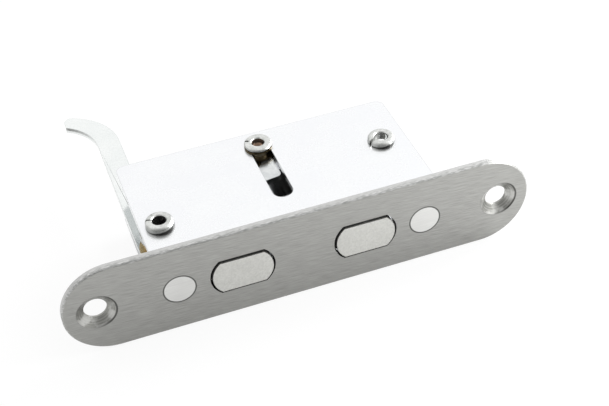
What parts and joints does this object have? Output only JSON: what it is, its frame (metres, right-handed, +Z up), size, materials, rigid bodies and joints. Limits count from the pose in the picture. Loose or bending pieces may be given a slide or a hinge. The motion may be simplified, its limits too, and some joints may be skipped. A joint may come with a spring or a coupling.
{
  "type": "mortice container door lock",
  "caption": "Mortice door lock with a long round-ended faceplate, two bolts that shoot through it, a folded case and a flat hook lever that throws them.",
  "frame": {"origin": "midway between the two screw holes, on the faceplate's rear face, where it seats on the door", "axes": "+X along the faceplate, to the right seen from the front; +Y into the door; +Z up"},
  "size_m": [0.11, 0.0707, 0.023],
  "materials": {
    "stainless_faceplate": "stainless steel brushed along its length",
    "ground_rivet": "rivet head ground flush, faint brushing",
    "zinc_sheet": "bright zinc-plated sheet, faintly mottled",
    "zinc_lever": "bright zinc-plated stamping, rolled edges",
    "spring_pin_steel": "bright plated spring steel",
    "turned_steel": "turned steel",
    "brass": "turned brass",
    "brown_brass": "browned brass",
    "bolt_steel": "satin steel",
    "screw_steel": "zinc-plated steel",
    "spring_wire": "drawn spring wire"
  },
  "bodies": {
    "case": {"faceplate": "stainless_faceplate", "faceplate_rivet_left": "ground_rivet", "faceplate_rivet_right": "ground_rivet", "case_shell": "zinc_sheet", "pivot_pin": "spring_pin_steel", "rear_bush": "spring_pin_steel", "spring_post": "turned_steel", "thrust_washer_upper": "brass", "thrust_washer_lower": "brass"},
    "lever": {"hook_lever": "zinc_lever", "lever_hub": "brass", "hub_spacer": "brass", "fork_plate": "zinc_lever"},
    "bolt_carriage": {"bolt_left": "bolt_steel", "bolt_right": "bolt_steel", "bolt_yoke": "zinc_sheet", "yoke_screw_left": "screw_steel", "yoke_screw_right": "screw_steel", "yoke_spacer": "turned_steel", "drive_pin": "spring_pin_steel", "drive_pin_core": "brown_brass", "drive_bush": "brass", "slot_washer": "brass", "drive_pin_clip": "screw_steel"},
    "toggle": {"toggle_spring": "spring_wire"}
  },
  "joints": [
    {"name": "bolt_throw", "type": "slide", "parent": "case", "child": "bolt_carriage", "axis": [0, -1, 0], "range_m": [0, 0.0173]},
    {"name": "hook_swing", "type": "hinge", "parent": "case", "child": "lever", "pos_m": [-0.029, 0.0112, 0], "axis": [0, 0, -1], "range_deg": [0, 30.28]},
    {"name": "toggle_swing", "type": "hinge", "parent": "case", "child": "toggle", "pos_m": [0.0275, 0.02, 0], "axis": [0, 0, 1], "range_deg": [0, 34.89]}
  ],
  "couplings": [
    {"joint": "hook_swing", "follows": "bolt_throw", "rad_per_m": 30.547},
    {"joint": "toggle_swing", "follows": "bolt_throw", "rad_per_m": 35.202}
  ]
}
